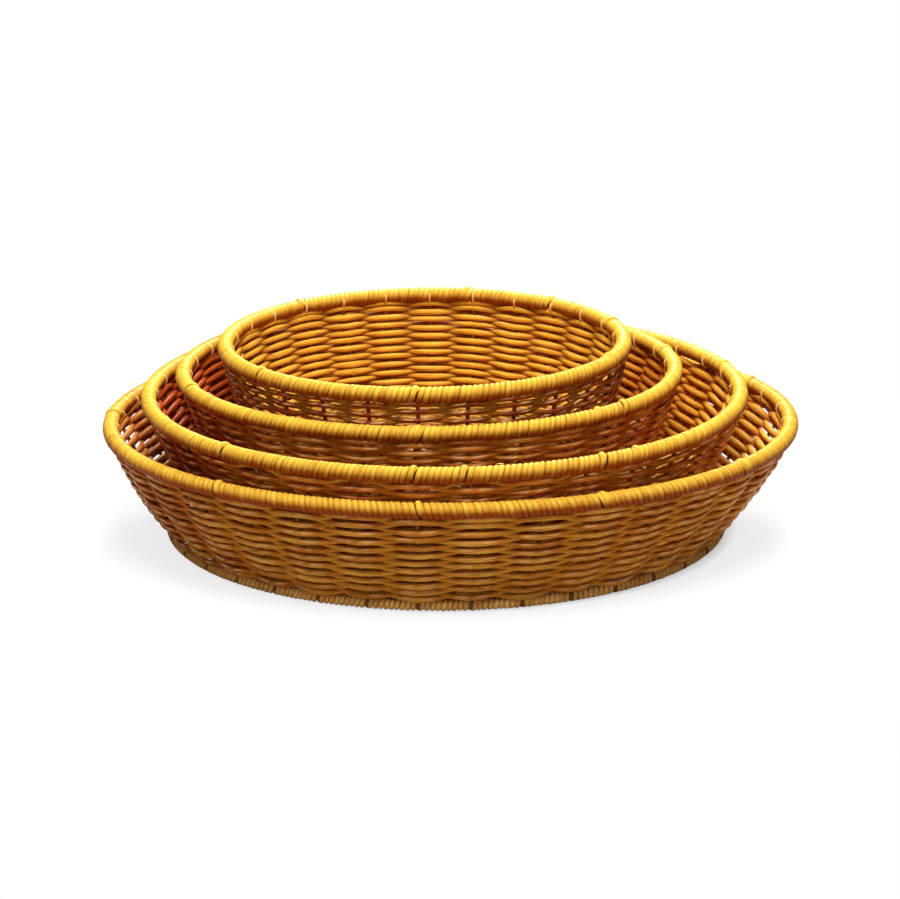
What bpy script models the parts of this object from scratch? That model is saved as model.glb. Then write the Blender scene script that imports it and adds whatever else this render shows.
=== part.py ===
"""Set of four oval wicker baskets that nest in one another.

Each basket is woven from round strand on a frame of wire stakes. It stands on a foot ring and
ends in a wire hoop wrapped with strand. The large basket stands on the floor, and each smaller
one stands on the base of the next larger one and lifts straight out.
Metres, +Z up. The large basket's rim is centred on the origin in plan.
"""

import math

import bmesh
import bpy
from mathutils import Vector

# Large basket, along the centre lines of its rim and its foot ring
RIM_HALF_LENGTH = 0.1945
RIM_HALF_WIDTH = 0.1345
RIM_HEIGHT = 0.0689
LARGE_FOOT_SHIFT = 0.0031
FOOT_LENGTH_SHARE = 0.824

# The four baskets, largest first
NAMES = ("large", "medium", "small", "smallest")
LENGTH_SHARES = (1.0, 0.866, 0.719, 0.580)
WIDTH_SHARES = (1.0, 0.948, 0.762, 0.643)
HEIGHT_SHARES = (0.942, 1.0, 0.987, 1.029)
FOOT_WIDTH_SHARES = (0.884, 0.860, 0.865, 0.860)
SIDE_SHIFT_SHARES = (0.0, 0.0139, 0.0566, 0.0668)
FRONT_SHIFT_SHARES = (0.0, 0.006, 0.0, 0.006)
STAKE_COUNTS = (36, 34, 30, 26)
STAKE_START_SHARES = (0.77, 0.3, 0.5, 0.6)
RING_COUNTS = (26, 24, 22, 20)

# Rim and foot ring
RIM_RADIUS = 0.0047
HOOP_RADIUS = 0.0013
WRAP_GAP = 0.001
FOOT_RADIUS = 0.0035
FOOT_SIDES = 6
TIE_RADIUS = 0.001
TIE_REACH = math.radians(125)
TIE_STEPS = 6
TIE_SLANT = 0.0035
TIE_SHARES = (
    (0.071, 0.648, 0.825),
    (0.635, 0.743, 0.840),
    (0.043, 0.752, 0.871),
    (0.143, 0.613, 0.940),
)

# Stakes and weave
STAKE_THICKNESS = 0.0016
TURNS = 4.5
STRAND_LENGTHS = 3
JOIN_GAP = 0.0012
ROW_SHARE = 0.92
STRAND_INNER = 0.0008
STRAND_OUTER = 0.0014

# Base
HUB_LENGTH_SHARE = 0.34
HUB_WIDTH_SHARE = 0.12
MAT_THICKNESS = 0.0049
MAT_RIDGE = 0.0010
MAT_RIDGE_SHARES = (0.40, 0.88)
MAT_SIDES = 18

# Clear space between pieces that touch on the real basket
GAP = 0.0003
MERGE_DISTANCE = 0.00003

LOOKS = {
    "rim_strand": ((0.86, 0.55, 0.10, 1.0), 0.42, 0.0),
    "wall_strand": ((0.66, 0.33, 0.07, 1.0), 0.45, 0.0),
    "base_strand": ((0.60, 0.31, 0.08, 1.0), 0.50, 0.0),
    "foot_strand": ((0.55, 0.27, 0.06, 1.0), 0.45, 0.0),
    "stake_wire": ((0.16, 0.09, 0.05, 1.0), 0.55, 0.6),
}


class Basket:
    """The sizes of one basket, worked out from the large one's."""

    def __init__(self, index):
        self.name = NAMES[index]
        self.stakes = STAKE_COUNTS[index]
        self.rings = RING_COUNTS[index]
        self.stake_start = STAKE_START_SHARES[index]
        self.ties = TIE_SHARES[index]
        self.rim_half_length = RIM_HALF_LENGTH * LENGTH_SHARES[index]
        self.rim_half_width = RIM_HALF_WIDTH * WIDTH_SHARES[index]
        self.foot_half_length = self.rim_half_length * FOOT_LENGTH_SHARE
        self.foot_half_width = self.rim_half_width * FOOT_WIDTH_SHARES[index]
        self.rim_z = RIM_HEIGHT * HEIGHT_SHARES[index]
        self.foot_shift = -LARGE_FOOT_SHIFT if index == 0 else 0.0
        across = -RIM_HALF_LENGTH * SIDE_SHIFT_SHARES[index]
        forward = -RIM_HALF_WIDTH * FRONT_SHIFT_SHARES[index]
        self.place = Vector((across, forward, index * nest_rise()))

    def stake_angle(self, number):
        """The angle round the oval at which a stake stands, counted from the right end."""
        return 2 * math.pi * (number + self.stake_start) / self.stakes

    def wall(self, angle, height):
        """The point of the wall's middle surface at an angle round the oval and a height."""
        rise = (height - spoke_z()) / (self.rim_z - spoke_z())
        half_length = self.foot_half_length + rise * (self.rim_half_length - self.foot_half_length)
        half_width = self.foot_half_width + rise * (self.rim_half_width - self.foot_half_width)
        x = self.foot_shift * (1 - rise) + half_length * math.cos(angle)
        return Vector((x, half_width * math.sin(angle), height))

    def outward(self, angle):
        """The level direction that faces away from the wall."""
        x = math.cos(angle) * self.rim_half_width
        return Vector((x, math.sin(angle) * self.rim_half_length, 0)).normalized()

    def lean(self, angle):
        """How far the wall leans outward from upright."""
        foot = self.wall(angle, spoke_z())
        rim = self.wall(angle, self.rim_z)
        return math.atan((rim - foot).dot(self.outward(angle)) / (rim - foot).z)

    def off_wall(self, angle, height, distance):
        """A point that stands off the wall's middle surface, square to it."""
        lean = self.lean(angle)
        square = self.outward(angle) * math.cos(lean) - Vector((0, 0, math.sin(lean)))
        return self.wall(angle, height) + square * distance


def foot_top():
    """Height of the foot ring's upper flat."""
    return 2 * FOOT_RADIUS * math.cos(math.pi / FOOT_SIDES)


def spoke_z():
    """Height of the middle of the spokes, which lie on the foot ring."""
    return foot_top() + GAP + STAKE_THICKNESS / 2


def mat_z():
    """Height of the base mat's underside, which lies on the spokes."""
    return spoke_z() + STAKE_THICKNESS / 2 + GAP


def nest_rise():
    """How far a basket's foot stands above the foot of the one that holds it."""
    return mat_z() + MAT_THICKNESS + GAP


def stake_clearance():
    """How far a strand's face stands from the wall's middle surface, clear of a stake's corners."""
    return STAKE_THICKNESS / math.sqrt(2) + 2 * GAP


def wall_half_depth():
    """How far the woven strands reach to each side of the wall's middle surface."""
    return stake_clearance() + STRAND_INNER + STRAND_OUTER


def clear_scene():
    for obj in list(bpy.data.objects):
        bpy.data.objects.remove(obj, do_unlink=True)
    for collection in list(bpy.data.collections):
        bpy.data.collections.remove(collection)


def new_collection(name):
    collection = bpy.data.collections.new(name)
    bpy.context.scene.collection.children.link(collection)
    return collection


def new_material(name):
    colour, roughness, metallic = LOOKS[name]
    material = bpy.data.materials.new(name)
    material.use_nodes = True
    material.diffuse_color = colour
    shader = material.node_tree.nodes["Principled BSDF"]
    shader.inputs["Base Color"].default_value = colour
    shader.inputs["Roughness"].default_value = roughness
    shader.inputs["Metallic"].default_value = metallic
    return material


def new_curve(name, points, cyclic, collection):
    """A poly curve object through the points, whose section stays upright along it."""
    curve = bpy.data.curves.new(name, "CURVE")
    curve.dimensions = "3D"
    curve.twist_mode = "Z_UP"
    curve.use_fill_caps = True
    spline = curve.splines.new("POLY")
    spline.points.add(len(points) - 1)
    for point, place in zip(spline.points, points):
        point.co = (place.x, place.y, place.z, 1.0)
    spline.use_cyclic_u = cyclic
    obj = bpy.data.objects.new(name, curve)
    collection.objects.link(obj)
    return obj


def new_tube(name, points, radius, sides, cyclic, collection):
    """A round tube along the points, with 4, 6 or 8 sides."""
    obj = new_curve(name, points, cyclic, collection)
    obj.data.bevel_depth = radius
    obj.data.bevel_resolution = (sides - 4) // 2
    return obj


def as_mesh(obj, collection):
    """Turns a curve object into a mesh object of the same name."""
    name = obj.name
    graph = bpy.context.evaluated_depsgraph_get()
    mesh = bpy.data.meshes.new_from_object(obj.evaluated_get(graph))
    bpy.data.objects.remove(obj, do_unlink=True)
    work = bmesh.new()
    work.from_mesh(mesh)
    bmesh.ops.remove_doubles(work, verts=work.verts, dist=MERGE_DISTANCE)
    bmesh.ops.recalc_face_normals(work, faces=work.faces)
    work.to_mesh(mesh)
    work.free()
    result = bpy.data.objects.new(name, mesh)
    collection.objects.link(result)
    return result


def ring_points(basket, height):
    step = 2 * math.pi / basket.rings
    return [basket.wall(i * step, height) for i in range(basket.rings)]


def side_of(points, place):
    """The point at a place along a ring's sides, and the direction of its side.

    The whole part of the place is the number of the side, and the rest is the share of it.
    """
    index = math.floor(place)
    start = points[index % len(points)]
    end = points[(index + 1) % len(points)]
    return start.lerp(end, place - index), (end - start).normalized()


def cut_ring(points, gap):
    """The ring's points, opened by a gap in the middle of its first side."""
    middle, along = side_of(points, 0.5)
    return [middle + along * gap / 2, *points[1:], points[0], middle - along * gap / 2]


def make_foot_ring(basket, parts):
    """The foot: a ring of strand whose lowest facet lies flat on what carries it."""
    points = ring_points(basket, spoke_z())
    for point in points:
        point.z = foot_top() / 2
    name = f"{basket.name}_foot_ring"
    return new_tube(name, points, FOOT_RADIUS, FOOT_SIDES, True, parts)


def make_rim_hoop(basket, parts):
    """The wire inside the rim."""
    points = ring_points(basket, basket.rim_z)
    return new_tube(f"{basket.name}_rim_hoop", points, HOOP_RADIUS, 4, True, parts)


def make_rim_wrap(basket, parts, cutters):
    """The strand wound on the hoop: a tube with a bore, whose two ends meet under a tie."""
    points = ring_points(basket, basket.rim_z)
    name = f"{basket.name}_rim_wrap"
    bore_radius = HOOP_RADIUS + GAP / math.cos(math.pi / 4)
    wrap = as_mesh(new_tube(name, cut_ring(points, WRAP_GAP), RIM_RADIUS, 8, False, parts), parts)
    long_points = cut_ring(points, WRAP_GAP / 2)
    bore = as_mesh(new_tube(f"{name}_bore", long_points, bore_radius, 4, False, cutters), cutters)
    bore.hide_render = True
    bore.display_type = "WIRE"
    cut = wrap.modifiers.new("bore", "BOOLEAN")
    cut.operation = "DIFFERENCE"
    cut.solver = "EXACT"
    cut.object = bore
    return wrap, bore


def make_rim_tie(basket, number, parts):
    """One raised, slanting turn of strand over the rim's winding, open below the rim."""
    points = ring_points(basket, basket.rim_z)
    middle, along = side_of(points, basket.ties[number] * basket.rings)
    level = Vector((along.y, -along.x, 0))
    step = 2 * TIE_REACH / TIE_STEPS
    around = (RIM_RADIUS + GAP + TIE_RADIUS) / math.cos(step / 2)
    turn = []
    for i in range(TIE_STEPS + 1):
        angle = i * step - TIE_REACH
        up = Vector((0, 0, math.cos(angle)))
        slant = along * TIE_SLANT * (i / TIE_STEPS - 0.5)
        turn.append(middle + (level * math.sin(angle) + up) * around + slant)
    tie = new_tube(f"{basket.name}_rim_tie_{number + 1}", turn, TIE_RADIUS, 4, False, parts)
    tie.data.twist_mode = "MINIMUM"
    return tie


def extrude_to(work, face, outer, inner, across):
    """Extrudes a four-sided face so that its lower edge ends at outer and its upper one at inner."""
    new_face = bmesh.ops.extrude_discrete_faces(work, faces=[face])["faces"][0]
    by_height = sorted(new_face.verts, key=lambda v: v.co.z)
    for pair, place in ((by_height[:2], outer), (by_height[2:], inner)):
        pair.sort(key=lambda v: v.co.dot(across))
        pair[0].co = place - across
        pair[1].co = place + across
    return new_face


def grow_stake(work, face, basket, angle):
    """Runs one spoke from the hub's side to the wall, and turns it up the wall as a stake."""
    half = STAKE_THICKNESS / 2
    outward = basket.outward(angle) * half
    across = Vector((-outward.y, outward.x, 0))
    rise = Vector((0, 0, half))
    corner = basket.wall(angle, spoke_z())
    face = extrude_to(work, face, corner + outward - rise, corner - outward + rise, across)
    head = basket.wall(angle, basket.rim_z - RIM_RADIUS - GAP)
    extrude_to(work, face, head + outward, head - outward, across)


def make_stakes(basket, parts):
    """The wire frame: spokes that fan out from a long hub and bend up to hold the weave."""
    count = basket.stakes
    length = basket.foot_half_length * HUB_LENGTH_SHARE
    width = basket.foot_half_width * HUB_WIDTH_SHARE
    work = bmesh.new()
    corners = []
    for i in range(count):
        angle = basket.stake_angle(i - 0.5)
        x = basket.foot_shift + length * math.cos(angle)
        z = spoke_z() - STAKE_THICKNESS / 2
        corners.append(work.verts.new((x, width * math.sin(angle), z)))
    plate = work.faces.new(corners)
    raised = bmesh.ops.extrude_face_region(work, geom=[plate])["geom"]
    upper = [item for item in raised if isinstance(item, bmesh.types.BMVert)]
    bmesh.ops.translate(work, verts=upper, vec=(0, 0, STAKE_THICKNESS))
    work.faces.ensure_lookup_table()
    for face in [f for f in work.faces if len(f.verts) == 4]:
        middle = face.calc_center_median()
        angle = math.atan2(middle.y / width, (middle.x - basket.foot_shift) / length)
        grow_stake(work, face, basket, angle)
    bmesh.ops.recalc_face_normals(work, faces=work.faces)
    name = f"{basket.name}_stakes"
    mesh = bpy.data.meshes.new(name)
    work.to_mesh(mesh)
    work.free()
    obj = bpy.data.objects.new(name, mesh)
    parts.objects.link(obj)
    return obj


def row_pitch(basket):
    return (basket.rim_z - RIM_RADIUS - mat_z() - GAP) / (2 * TURNS + ROW_SHARE)


def make_strand_section(basket, cutters):
    """The strand's section: a flat that lies on the stakes and a crown that faces away."""
    half_height = row_pitch(basket) * ROW_SHARE / 2
    points = (
        Vector((STRAND_OUTER, 0, 0)),
        Vector((-STRAND_INNER, -half_height, 0)),
        Vector((-STRAND_INNER, half_height, 0)),
    )
    section = new_curve(f"{basket.name}_strand_section", points, True, cutters)
    section.data.dimensions = "2D"
    section.data.fill_mode = "NONE"
    section.hide_render = True
    section.display_type = "WIRE"
    return section


def weaver_path(basket, letter):
    """The way of one of the two strands that chase each other up the wall, and its leans.

    The second strand starts half way round from the first and passes each stake on the other
    side. The count of stakes is even, so each strand keeps its side of a stake in every row.
    """
    second = letter == "b"
    start = basket.stakes // 2 if second else 0
    steps = round(TURNS * basket.stakes)
    pitch = row_pitch(basket)
    lowest = mat_z() + pitch * ROW_SHARE / 2
    points = []
    leans = []
    for i in range(steps + 1):
        stake = start + i
        angle = basket.stake_angle(stake)
        height = lowest + 2 * pitch * i / basket.stakes
        in_front = (stake % 2 == 0) != second
        front = stake_clearance() + STRAND_INNER
        back = -stake_clearance() - STRAND_OUTER
        points.append(basket.off_wall(angle, height, front if in_front else back))
        leans.append(basket.lean(angle))
    return points, leans


def make_weaver(basket, letter, section, parts):
    """One of the two strands of the wall, in lengths: each begins where the one below it ends."""
    points, leans = weaver_path(basket, letter)
    steps = len(points) - 1
    weavers = []
    for number in range(STRAND_LENGTHS):
        first = round(steps * number / STRAND_LENGTHS)
        last = round(steps * (number + 1) / STRAND_LENGTHS)
        way = points[first:last + 1]
        if last < steps:
            way[-1] = way[-1] + (way[-2] - way[-1]).normalized() * JOIN_GAP
        weaver = new_curve(f"{basket.name}_weaver_{letter}_{number + 1}", way, False, parts)
        for point, lean in zip(weaver.data.splines[0].points, leans[first:last + 1]):
            point.tilt = lean
        weaver.data.bevel_mode = "OBJECT"
        weaver.data.bevel_object = section
        weavers.append(weaver)
    return weavers


def make_base_mat(basket, parts):
    """The woven base, whose rounds show as ridges: a profile turned about its centre."""
    low = MAT_THICKNESS - MAT_RIDGE
    profile = [(0.0, 0.0), (1.0, 0.0), (1.0, low)]
    for share in reversed(MAT_RIDGE_SHARES):
        profile.append((share, MAT_THICKNESS))
        profile.append((share - MAT_RIDGE_SHARES[0] / 2, low))
    profile.append((0.0, MAT_THICKNESS))
    mesh = bpy.data.meshes.new(f"{basket.name}_base_mat")
    edges = [(i, i + 1) for i in range(len(profile) - 1)]
    mesh.from_pydata([(x, 0.0, z) for x, z in profile], edges, [])
    mat = bpy.data.objects.new(mesh.name, mesh)
    parts.objects.link(mat)
    turn = mat.modifiers.new("turn", "SCREW")
    turn.steps = MAT_SIDES
    turn.render_steps = MAT_SIDES
    turn.use_merge_vertices = True
    turn.merge_threshold = MERGE_DISTANCE
    turn.use_normal_flip = True
    inset = wall_half_depth() + GAP
    mat.location = (basket.foot_shift, 0, mat_z())
    mat.scale = (basket.foot_half_length - inset, basket.foot_half_width - inset, 1)
    return mat


def dress(objects, materials, look):
    for obj in objects:
        obj.data.materials.append(materials[look])


def build_basket(basket, holder, parts, cutters, materials):
    """Makes one basket's pieces on an empty at its foot, which rides on its holder's empty."""
    middle = bpy.data.objects.new(f"{basket.name}_middle", None)
    parts.objects.link(middle)
    middle.location = basket.place
    if holder:
        middle.parent = bpy.data.objects[f"{holder.name}_middle"]
        middle.location = basket.place - holder.place
    section = make_strand_section(basket, cutters)
    wrap, bore = make_rim_wrap(basket, parts, cutters)
    rim = [wrap] + [make_rim_tie(basket, number, parts) for number in range(len(basket.ties))]
    wall = make_weaver(basket, "a", section, parts) + make_weaver(basket, "b", section, parts)
    wire = [make_stakes(basket, parts), make_rim_hoop(basket, parts)]
    foot = [make_foot_ring(basket, parts)]
    base = [make_base_mat(basket, parts)]
    dress(rim, materials, "rim_strand")
    dress(wall, materials, "wall_strand")
    dress(wire, materials, "stake_wire")
    dress(foot, materials, "foot_strand")
    dress(base, materials, "base_strand")
    for obj in rim + wall + wire + foot + base + [bore]:
        obj.parent = middle


def main():
    clear_scene()
    parts = new_collection("nested_wicker_baskets")
    cutters = new_collection("cutters_and_sections")
    materials = {name: new_material(name) for name in LOOKS}
    baskets = [Basket(index) for index in range(len(NAMES))]
    for basket, holder in zip(baskets, [None, *baskets]):
        build_basket(basket, holder, parts, cutters, materials)


main()
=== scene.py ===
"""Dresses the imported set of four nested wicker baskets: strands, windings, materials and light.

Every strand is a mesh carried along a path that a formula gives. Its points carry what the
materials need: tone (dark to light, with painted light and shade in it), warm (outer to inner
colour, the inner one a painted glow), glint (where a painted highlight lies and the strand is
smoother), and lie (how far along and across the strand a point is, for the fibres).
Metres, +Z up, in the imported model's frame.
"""
import math

import bpy
import numpy as np
from mathutils import Matrix, Vector


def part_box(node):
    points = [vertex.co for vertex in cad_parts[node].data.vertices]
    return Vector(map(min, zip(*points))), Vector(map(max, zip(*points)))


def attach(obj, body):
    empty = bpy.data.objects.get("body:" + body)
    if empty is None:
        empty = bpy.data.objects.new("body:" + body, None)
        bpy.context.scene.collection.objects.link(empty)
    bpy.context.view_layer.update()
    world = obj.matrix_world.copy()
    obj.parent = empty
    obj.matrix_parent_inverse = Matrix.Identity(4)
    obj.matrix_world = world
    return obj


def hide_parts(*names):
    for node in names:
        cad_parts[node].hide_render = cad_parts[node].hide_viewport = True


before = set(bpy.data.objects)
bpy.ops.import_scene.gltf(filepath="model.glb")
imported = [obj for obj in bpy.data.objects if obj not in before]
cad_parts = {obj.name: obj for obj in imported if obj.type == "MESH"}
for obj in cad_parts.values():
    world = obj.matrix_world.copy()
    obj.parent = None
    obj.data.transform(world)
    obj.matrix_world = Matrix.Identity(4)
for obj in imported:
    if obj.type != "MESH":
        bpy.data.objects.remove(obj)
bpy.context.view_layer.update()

UP = np.array([0.0, 0.0, 1.0])
FIRST_SEED = 40
RING_TABLE_STEPS = 3600
SLOW_CHANGE = 3
PLAIN_TONE = 0.5
PLAIN_TONE_STRAYS = (0.14, 0.08)

# The four baskets, largest first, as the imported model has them
NAMES = ("large", "medium", "small", "smallest")
STAKE_COUNTS = (36, 34, 30, 26)
RING_COUNTS = (26, 24, 22, 20)
STAKE_START_SHARES = (0.77, 0.3, 0.5, 0.6)
RIM_RADIUS = 0.0047
PACKED_FOOT_RADIUS = 0.0035
PACKED_STAKE_THICKNESS = 0.0016

# Rows of strand in the wall
ROW_COUNTS = (21, 22, 23, 25)
ROW_HALF_HEIGHTS = (0.00130, 0.00130, 0.00128, 0.00126)
ROW_HALF_DEPTH = 0.0013
ROW_SWELL_SHARE = 0.32
RIGHT_END_SWELL_SHARE = 0.14
WEAVE_DEPTH = 0.0023
WEAVE_POWER = 0.85
TOP_ROW_OVERLAP = 0.0001
TOP_ARCH = 0.0015
TOP_ARCH_START_ROWS = 3.5
ARCHED_ROWS = 1.5
LOW_ROW_RISE = 0.0017
LOW_SAG = 0.0009
BELLY = 0.0027075
WALL_SIDES = 8
WALL_SAMPLES = 8

# How far the wall's strands stray, and how evenly they are coloured
COLUMN_STRAY = 0.00046
ROW_STRAY = 0.00032
DEPTH_STRAY = 0.00012
THICKNESS_STRAY_SHARE = 0.06
# Wall tone: painted shade darkens it where the strands cross, towards the rim and at the ends
WALL_TONE = 0.12
WALL_TONE_AT_STAKES = 0.50
PAINTED_RIM_SHADE = 0.14
WALL_TONE_STRAYS = (0.09, 0.08)
WARM_POWER = 0.7

# The ends of the ovals, by the cosine of the angle round them, and how much painted shade each basket's
# wall takes there: darker and less warm, for the shade in the narrow gaps between the nested baskets
END_START = 0.55
END_LENGTH = 0.4
LEFT_END_SHADES = (0.48, 0.78, 0.78, 0.0)
RIGHT_END_SHADES = (0.12, 0.10, 0.35, 0.0)
END_SHADE_COOLING = 1.7

# Painted highlights on the wall, beside the stakes, where the strand is also smoother and glossier;
# distances are shares of the way to the next stake
GLINT_START = 0.06
GLINT_RISE = 0.06
GLINT_END = 0.36
GLINT_FALL = 0.12
GLINT_MEAN = 0.75
GLINT_STRAY = 0.6
GLINTS_PER_STAKE = 4

# Winding of the rim: strands laid side by side, and which way they climb
RIM_STRANDS = 2
RIM_SPACINGS = (0.0033, 0.00312, 0.00312, 0.0031)
END_SQUEEZE_SHARE = 0.2
RIM_HALF_DEPTH = 0.00115
RIM_HANDS = (-1, 1, 1, 1)
RIM_SIDES = 12
RIM_SAMPLES = 14
RIM_WOBBLE = 0.00008
RIM_LIFT = 0.00005
RIM_LIFTS_PER_TURN = 1.5
RIM_WIDTH_STRAY_SHARE = 0.012
RIM_FIBRE_SHIFT = 3.0

# A groove along each rim strand makes it look like two: deep at the back, shallow in front
GROOVE_WIDTH_SHARE = 0.3
BACK_GROOVE = 0.00050
FRONT_GROOVE = 0.00012
BACK_FLATTER_SHARE = 0.30
BACK_START = 0.55

# Colour of the rims: painted light and shade, yellower on top and browner underneath; tan at one place on
# the left, duller on some baskets
LOW_RIM_TONE = 0.02
TOP_RIM_TONE_GAIN = 0.84
RIM_TONE_START = -0.35
RIM_TONE_LENGTH = 1.15
RIM_TONE_STRAYS = (0.04, 0.035)
RIM_TANS = (0.34, 0.34, 0.34, 0.0)
TAN_PLACE_SHARE = 0.40
TAN_REACH_SHARE = 0.06
RIM_DULLS = (0.14, 0.05, 0.04, 0.03)

# Splices of the rim, as shares of the way round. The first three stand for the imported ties.
SPLICE_SHARES = (
    (0.071, 0.648, 0.825, 0.744, 0.908, 0.19, 0.34, 0.50),
    (0.635, 0.743, 0.840, 0.768, 0.861, 0.048, 0.21, 0.37),
    (0.043, 0.752, 0.871, 0.894, 0.22, 0.40, 0.56),
    (0.143, 0.613, 0.940, 0.752, 0.373, 0.222, 0.056),
)
PACKED_TIES = 3
SPLICE_OPENING = 0.8
SPLICE_REACH = 0.0017
SPLICE_SLANT = 0.0042
SPLICE_LIFT = 0.0009
SPLICE_DIVE_SHARE = 2.4
SPLICE_DEPTH_SHARE = 0.9
SPLICE_FLAT_SHARE = 0.075
SPLICE_STEPS = 26
SPLICE_TURN_START = math.radians(235)
SPLICE_TURN_LENGTH = math.radians(290)
SPLICE_RISE_POWER = 0.6
SPLICE_TONE_STRAY = 0.06
SPLICE_TONE_GAIN = 0.08

# Ends of the stakes, lapped over the inside of the rim
STAKE_END_RADIUS = 0.00062
STAKE_END_STEPS = 10
STAKE_END_SIDES = 6
STAKE_END_PROUD_SHARE = 0.2
STAKE_END_DIVE = 0.0022
STAKE_END_DIVE_SHARE = 0.25
STAKE_END_FIBRE_SHIFT = 0.5
STAKE_END_TURN_START = math.radians(262)
STAKE_END_LEAST_DEGREES = 115
STAKE_END_MOST_DEGREES = 160

# Winding of the foot, and the wire inside it
FOOT_RADIUS = 0.0031
FOOT_SPACING = 0.0029
FOOT_FILL_SHARE = 0.49
FOOT_HALF_DEPTH = 0.00105
FOOT_NOTCH = 0.0016
FOOT_SIDES = 6
FOOT_SAMPLES = 12
FOOT_LIFT_STRAY = 0.00006
FOOT_CORE_RADIUS = 0.0017
FOOT_CORE_SIDES = 8
FOOT_CORE_SAMPLES = 6
FOOT_LOOP_STEPS = 14
FOOT_LOOP_TONE = 0.4
FOOT_FIBRE_SHIFT = 2.0

# Base
HUB_LENGTH_SHARE = 0.34
HUB_WIDTH_SHARE = 0.12
HUB_SPOKES = 8
HUB_SAMPLES = 4
HUB_TONE_STRAY = 0.1
HUB_FIBRE_SHIFT = 0.7
BASE_PITCH = 0.0026
BASE_HALF_WIDTH = 0.00145
BASE_HALF_DEPTH = 0.00095
BASE_DEPTH = 0.0010
BASE_SIDES = 6
BASE_SAMPLES = 4
BASE_INSET = 0.0036
BORDER_RADIUS = 0.0014
BORDER_STEP = 0.0004
BORDER_SAMPLES = 8
BORDER_TONE = 0.35
BORDER_TONE_SWING = 0.1
BORDER_TONE_WAVES = 3
BORDER_TONE_SHIFT = 900

# Stakes
STAKE_RADIUS = 0.0012
STAKE_SIDES = 6
STAKE_WALL_START = 0.004
STAKE_WALL_STEPS = 8
STAKE_FIBRE_SHIFT = 1.0
SPOKE_LENGTH_SHARE = 0.96
SPOKE_STEPS = 6

# Strand materials: stretch of the fibres and patches along, across and through a strand
FIBRE_STRETCH = (90.0, 1400.0, 1400.0)
FIBRE_DETAIL = 3.0
PATCH_STRETCH = (28.0, 120.0, 120.0)
PATCH_DETAIL = 2.0
PATCH_LOW = 0.3
PATCH_HIGH = 0.7
STREAK_LOW = 0.52
STREAK_HIGH = 0.72
STREAK_MOST = 0.6
ROUGH_LESS = 0.08
ROUGH_MORE = 0.12
BUMP_STRENGTH = 0.35
BUMP_DISTANCE = 0.0002
COAT_ROUGHNESS = 0.22
GLOW_RADIUS = (1.0, 0.28, 0.05)
GLOW_SCALE = 0.003
DULL_GLOSS = 0.2
GLINT_GLOSS_GAIN = 0.8
GLINT_SMOOTHING = -0.26
DULL_TINT = (1.0, 0.52, 0.14, 1)
GLINT_TINT = (1.0, 0.62, 0.38, 1)
# The painted highlight's pale peach colour, and the glint values over which it fades in
PAINTED_GLINT_COLOUR = (1.0, 0.54, 0.22, 1)
PAINTED_GLINT_LOW = 0.2
PAINTED_GLINT_HIGH = 0.8
PAINTED_GLINT_MOST = 0.9
WARM_GAIN = 0.85

# Light, dark and inner colour of each basket's wall. Light and dark colour the strand where it passes
# outside the stakes. They differ by basket as painted shade: the medium's are redder, and the smallest's,
# whose front lies in shade between the rims, far darker and redder. The inner colour, where the strand
# passes inside the stakes, is brighter and more orange: a painted glow of the light that falls into
# the basket and through the strands.
WALL_COLOURS = (
    ((0.92, 0.47, 0.075, 1), (0.40, 0.082, 0.008, 1), (0.86, 0.43, 0.045, 1)),
    ((0.82, 0.31, 0.050, 1), (0.38, 0.048, 0.006, 1), (0.88, 0.45, 0.045, 1)),
    ((0.92, 0.42, 0.080, 1), (0.44, 0.075, 0.010, 1), (0.86, 0.42, 0.040, 1)),
    ((0.42, 0.085, 0.020, 1), (0.20, 0.018, 0.004, 1), (1.0, 0.54, 0.060, 1)),
)
WALL_LOOK = {"deep": (0.14, 0.025, 0.003, 1), "rough": 0.34, "patches": 0.28, "glow": 0.5, "painted_glint_and_gloss": True}
OTHER_LOOKS = {
    "rim_strand": {
        "light": (0.90, 0.575, 0.06, 1), "dark": (0.34, 0.056, 0.004, 1), "deep": (0.26, 0.06, 0.004, 1),
        "rough": 0.34, "inner": (0.96, 0.52, 0.17, 1), "patches": 0.14,
    },
    "base_strand": {
        "light": (0.70, 0.36, 0.05, 1), "dark": (0.42, 0.16, 0.02, 1), "deep": (0.20, 0.07, 0.01, 1),
        "rough": 0.42, "coat": 0.1,
    },
    "foot_strand": {
        "light": (1.0, 0.64, 0.20, 1), "dark": (0.90, 0.42, 0.09, 1), "deep": (0.20, 0.06, 0.014, 1),
        "rough": 0.42,
    },
    "stake": {
        "light": (0.42, 0.20, 0.06, 1), "dark": (0.20, 0.08, 0.02, 1), "deep": (0.09, 0.03, 0.01, 1),
        "rough": 0.5, "coat": 0.1,
    },
}

# Floor and world
FLOOR_HALF_SIZE = 4.0
FLOOR_LEVEL = -0.0003
FLOOR_COLOUR = (0.90, 0.90, 0.90, 1)
FLOOR_UNSEEN_COLOUR = (0.47, 0.43, 0.36, 1)
SHADOW_HALF_LENGTH = 0.163
SHADOW_HALF_WIDTH = 0.119
SHADOW_SPAN = 3.0
SHADOW_END = 0.30
FADE_KNEE = 0.34
FADE_KNEE_COLOUR = (0.8, 0.8, 0.8, 1)
FADE_END = 0.9
WORLD_COLOUR = (1.0, 0.97, 0.93, 1)
WORLD_STRENGTH = 0.11
WHITE = (1, 1, 1, 1)
BLACK = (0, 0, 0, 1)

# Lamps: name, place, size and power
LAMPS = (
    ("top_softbox", (0.10, -0.40, 1.45), 0.6, 28),
    ("back_softbox", (0.05, 1.0, 1.0), 0.5, 27),
    ("left_strip", (-1.0, -1.5, 0.85), 0.6, 1.6),
    ("right_strip", (0.7, -1.7, 0.85), 0.4, 1.2),
)

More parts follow.
